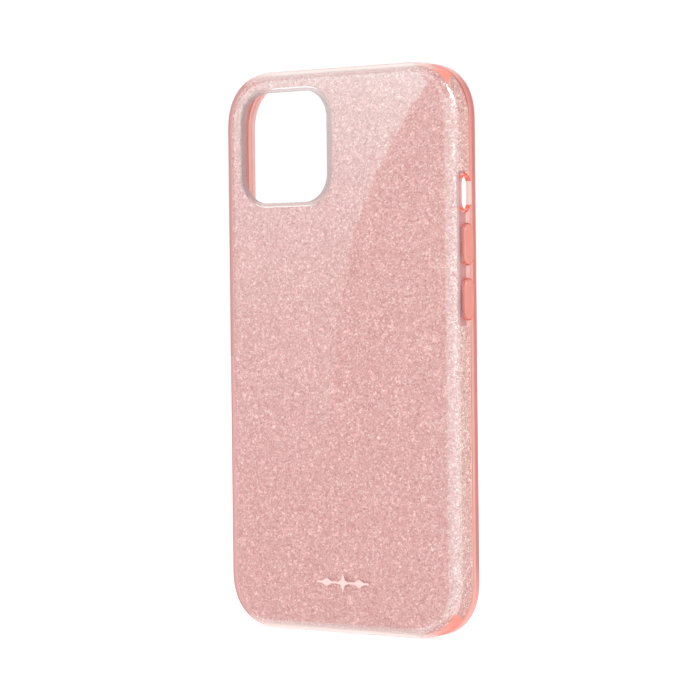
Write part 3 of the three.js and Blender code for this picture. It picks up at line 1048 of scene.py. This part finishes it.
def build_inner_tray():
    side = SKIN_SIDE + SHEET_THICKNESS + 2 * LAYER_GAP
    back = SKIN_BACK + SHEET_THICKNESS + 2 * LAYER_GAP
    tray = case_block("hard_tray", side, back, TRAY_FRONT_Y)
    pocket = case_block("pocket", SIDE_WALL, BACK_WALL, FRONT_Y + BEYOND)
    cut(tray, pocket, *shared_cutters())
    paint(tray, TRAY)
    soften(tray, TRAY_SOFTENING)
    smooth(tray)
    return belongs(tray, BODY, "clear_tray", "inner_shell")


# ---- Button covers -------------------------------------------------------------------------

def build_button(node, body, side):
    low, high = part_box(node)
    outer_x = high.x if side > 0 else -low.x
    inner_x = low.x if side > 0 else -high.x
    length, width = button_size(node)
    middle_z = button_middle(node)
    pad = side_bar(
        node.replace("cover", "pad"), side, inner_x, outer_x - PAD_DOME, middle_z, length, width
    )
    round_over(pad, (side, 0, 0), PAD_DOME, PAD_DOME, PAD_STEPS)
    paint(pad, PAD)
    smooth(pad)
    belongs(pad, body, "soft_cover", node)

    ring_x = HALF_WIDTH - FLEX_RING_DEPTH
    pad_x = HALF_WIDTH - FLEX_PAD_DEPTH
    web = side_bar(
        node.replace("cover", "flex_web"), side, ring_x, ring_x + FLEX_THICKNESS,
        middle_z, length + 2 * BUTTON_CLEARANCE, width + 2 * BUTTON_CLEARANCE,
    )
    cut(web, side_bar("hole", side, 0, HALF_WIDTH + BEYOND, middle_z, length, width))
    # The web's inner edge is raised, so that it slopes up to the pad.
    activate(web)
    bpy.ops.object.mode_set(mode="EDIT")
    bpy.ops.mesh.select_all(action="DESELECT")
    mesh = bmesh.from_edit_mesh(web.data)
    straight = length / 2 - width / 2
    for vert in mesh.verts:
        up = max(abs(vert.co.z - middle_z) - straight, 0)
        reach = math.hypot(up, vert.co.y - BUTTON_Y)
        vert.select_set(reach < width / 2 + BUTTON_CLEARANCE / 2)
    mesh.select_flush(True)
    bmesh.update_edit_mesh(web.data)
    bpy.ops.transform.translate(value=(side * (pad_x - ring_x), 0, 0))
    bpy.ops.object.mode_set(mode="OBJECT")
    paint(web, RIM_SIDE)
    smooth(web)
    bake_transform(web)


# ---- Foil mark -----------------------------------------------------------------------------

def finish_mark():
    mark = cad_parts["back_mark"]
    mark.data.materials.clear()
    mark.data.materials.append(FOIL)


# ---- Camera, light and floor ---------------------------------------------------------------

def view_axes(azimuth, elevation):
    """Right, up and back of a camera at these angles, in degrees."""
    turn, rise = math.radians(azimuth), math.radians(elevation)
    back = Vector((
        math.sin(turn) * math.cos(rise), -math.cos(turn) * math.cos(rise), math.sin(rise)
    ))
    right = Vector((math.cos(turn), math.sin(turn), 0))
    return right, back.cross(right), back


def rolled(right, up, degrees):
    """Right and up, turned about the line of sight."""
    roll = math.radians(degrees)
    return (
        right * math.cos(roll) + up * math.sin(roll), up * math.cos(roll) - right * math.sin(roll)
    )


def set_frame(thing, right, up, back, place):
    """Puts the thing at a place, with its own X, Y and Z along right, up and back."""
    thing.matrix_world = Matrix((
        (right.x, up.x, back.x, place.x),
        (right.y, up.y, back.y, place.y),
        (right.z, up.z, back.z, place.z),
        (0, 0, 0, 1),
    ))


def add_camera():
    right, up, back = view_axes(CAMERA_AZIMUTH, CAMERA_ELEVATION)
    aim = Vector((0, (BACK_Y + FRONT_Y) / 2, MIDDLE_Z))
    aim += right * CAMERA_AIM_RIGHT + up * CAMERA_AIM_UP
    data = bpy.data.cameras.new("camera")
    data.lens = CAMERA_LENS
    data.sensor_width = 36
    data.clip_start = 0.01
    camera = bpy.data.objects.new("camera", data)
    bpy.context.scene.collection.objects.link(camera)
    set_frame(camera, *rolled(right, up, CAMERA_ROLL), back, aim + back * CAMERA_DISTANCE)
    bpy.context.scene.camera = camera


def add_card(name, azimuth, elevation, outline, stops, along, turn=0.0, tint=(1, 1, 1)):
    """A glowing card that faces the case's middle and shows only in its gloss.

    The outline is in millimetres, right and up, as seen from the case. The stops are (place,
    extra glow) pairs: place in millimetres right (along=0) or up (along=1), and the glow that
    the card has over its surroundings.
    """
    right, up, back = view_axes(azimuth, elevation)
    mesh = bpy.data.meshes.new(name)
    mesh.from_pydata([(x * MM, y * MM, 0) for x, y in outline], [], [range(len(outline))])
    card = bpy.data.objects.new(name, mesh)
    bpy.context.scene.collection.objects.link(card)
    middle = Vector((0, 0, MIDDLE_Z))
    set_frame(card, *rolled(right, up, turn), back, middle + back * CARD_DISTANCE)
    card.visible_camera = False
    card.visible_diffuse = False
    card.visible_transmission = False
    card.visible_shadow = False
    material = new_material(name)
    tree = material.node_tree
    first, last = stops[0][0], stops[-1][0]
    strongest = WORLD_GLOW + max(extra for _, extra in stops)
    where = share_between(tree, along_axes(tree, object_coordinates(tree))[along], first, last)
    colour = colour_ramp(tree, where, [
        (
            (spot - first) / (last - first),
            [(WORLD_GLOW + extra * part) / strongest for part in tint],
        )
        for spot, extra in stops
    ])
    emission = add(tree, "ShaderNodeEmission", Strength=strongest)
    tree.links.new(colour, emission.inputs["Color"])
    finish_material(tree, emission)
    paint(card, material)


def rectangle(low_x, high_x, low_y, high_y):
    return [(low_x, low_y), (high_x, low_y), (high_x, high_y), (low_x, high_y)]


def window_edge(height):
    """How far right the window reaches where its edge curves, in millimetres."""
    climb = height - WINDOW_CURVE[0]
    return 0.07 * climb + 0.0021 * climb**2


def window_outline():
    """A tall window with an upright far side and a curved near edge."""
    low, high = WINDOW_CURVE
    curve = []
    for step in range(WINDOW_CURVE_STEPS + 1):
        height = high - (high - low) * step / WINDOW_CURVE_STEPS
        curve.append((window_edge(height), height))
    return [
        (WINDOW_FAR_SIDE, 600), (160, 600), (116, 300), *curve,
        (-14, WINDOW_SILL), (WINDOW_FAR_SIDE, WINDOW_SILL),
    ]


def add_studio():
    scene = bpy.context.scene
    scene.view_settings.view_transform = "Standard"
    world = bpy.data.worlds.new("studio")
    world.use_nodes = True
    background = world.node_tree.nodes["Background"]
    background.inputs["Color"].default_value = (1, 1, 1, 1)
    background.inputs["Strength"].default_value = WORLD_GLOW
    scene.world = world

    deselect()
    bpy.ops.mesh.primitive_plane_add(size=FLOOR_SIZE, location=(0, 0, SHELL_LOW.z - FLOOR_DROP))
    floor = bpy.context.object
    floor.name = "floor"
    material = new_material("white_floor")
    tree = material.node_tree
    body = add(tree, "ShaderNodeBsdfDiffuse", Color=(0.45, 0.45, 0.45, 1))
    glow = add(tree, "ShaderNodeEmission", Color=(1, 1, 1, 1), Strength=0.75)
    total = add(tree, "ShaderNodeAddShader")
    tree.links.new(body.outputs[0], total.inputs[0])
    tree.links.new(glow.outputs[0], total.inputs[1])
    finish_material(tree, total)
    paint(floor, material)
    floor.visible_glossy = False

    # A tall window on the left, whose slanted edge crosses the back.
    add_card(
        "window_card", -CAMERA_AZIMUTH, -CAMERA_ELEVATION,
        window_outline(),
        [(WINDOW_SILL, 0), (20, 0.5), (100, 1.3), (150, 2.2), (175, 2.8), (300, 3.2)],
        along=1,
        tint=COOL_TINT,
    )
    # Two strips on the right, side by side, which whiten the rounded back edge.
    add_card(
        "front_strip_card", 14, 0,
        rectangle(-675, 675, -1200, 450),
        [(-675, 0), (-400, 1.0), (-100, 1.5), (675, 1.7)],
        along=0,
        tint=COOL_TINT,
    )
    add_card(
        "side_strip_card", 94, 0,
        rectangle(-1035, 800, -1200, 450),
        [(-1035, 1.7), (-600, 1.9), (400, 1.9), (800, 1.4)],
        along=0,
        tint=COOL_TINT,
    )
    # Narrow ones above and below them, for the bright lines at the corners.
    add_card(
        "upper_corner_card", 92, 34,
        rectangle(-520, 280, -230, 110),
        [(-520, 9.0), (280, 9.0)],
        along=0,
        turn=-42,
    )
    add_card(
        "lower_corner_card", 92, -40,
        rectangle(-520, 280, -110, 230),
        [(-520, 2.5), (280, 2.5)],
        along=0,
        turn=42,
    )
    # Two broad ones on the left, overhead and below, for the top and bottom edges.
    for name, elevation in (("top_card", 50), ("bottom_card", -50)):
        add_card(
            name, -75, elevation,
            rectangle(-800, 1200, -300, 300),
            [(-800, 1.7), (1200, 1.7)],
            along=0,
            tint=COOL_TINT,
        )


# ---- Assembly ------------------------------------------------------------------------------

add_camera()
build_outer_shell()
build_corner_webs()
build_button_panels()
build_glitter_sheet()
build_inner_tray()
for button_node, (button_body, button_side) in BUTTONS.items():
    build_button(button_node, button_body, button_side)
finish_mark()
add_studio()
deselect()
